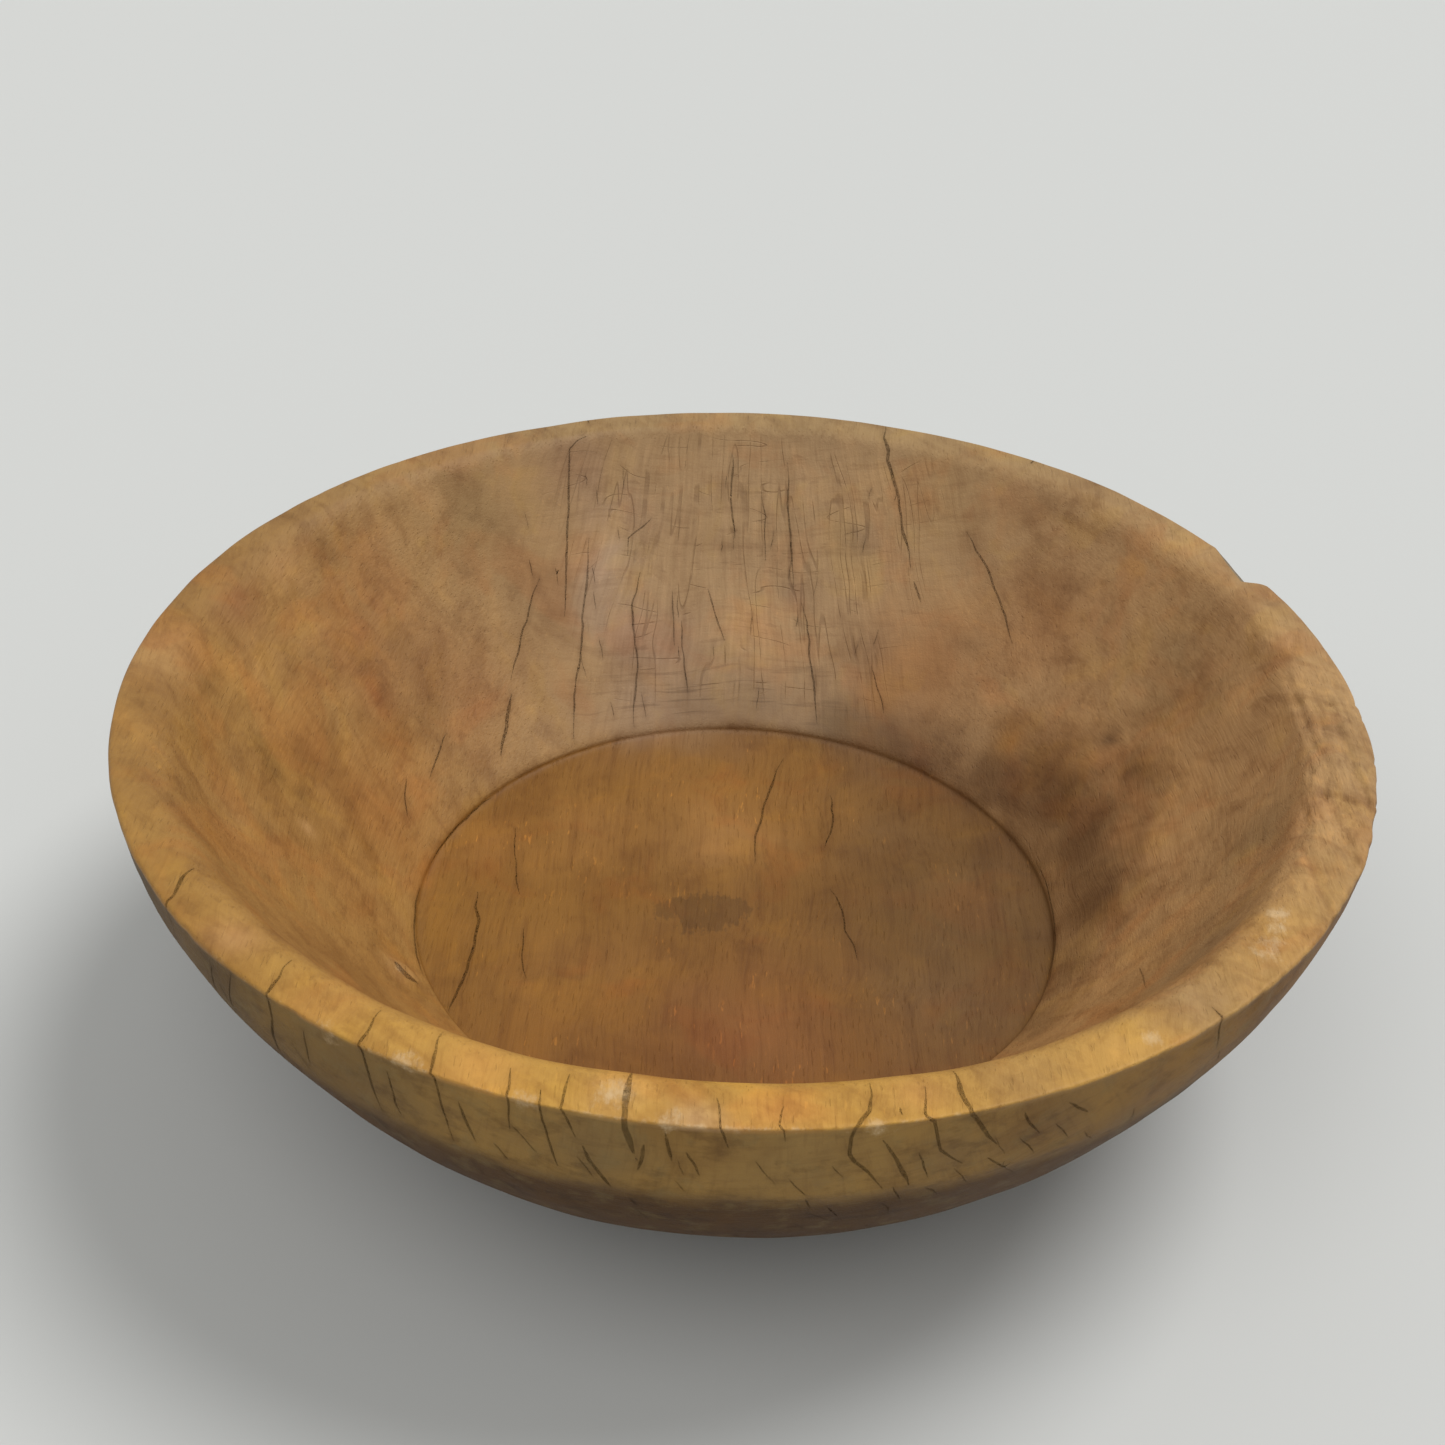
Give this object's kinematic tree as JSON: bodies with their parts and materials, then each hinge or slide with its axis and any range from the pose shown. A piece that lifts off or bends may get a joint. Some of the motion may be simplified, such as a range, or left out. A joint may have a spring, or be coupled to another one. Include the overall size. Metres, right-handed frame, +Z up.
{
  "type": "carved wooden bowl",
  "caption": "Wide hand-carved wooden bowl from one block, thick worn rim, sunk round floor, drying checks and a splintered rim edge.",
  "frame": {"origin": "centre of the foot, on the surface that the bowl stands on", "axes": "+Z up out of the mouth, Y along the grain of the log, +X to the side with the splintered rim"},
  "size_m": [0.56, 0.56, 0.178],
  "materials": {
    "bowl_wood": "aged bare wood with a waxy hand-worn patina, semi-matte"
  },
  "bodies": {
    "root": {"bowl": "bowl_wood"}
  },
  "joints": []
}
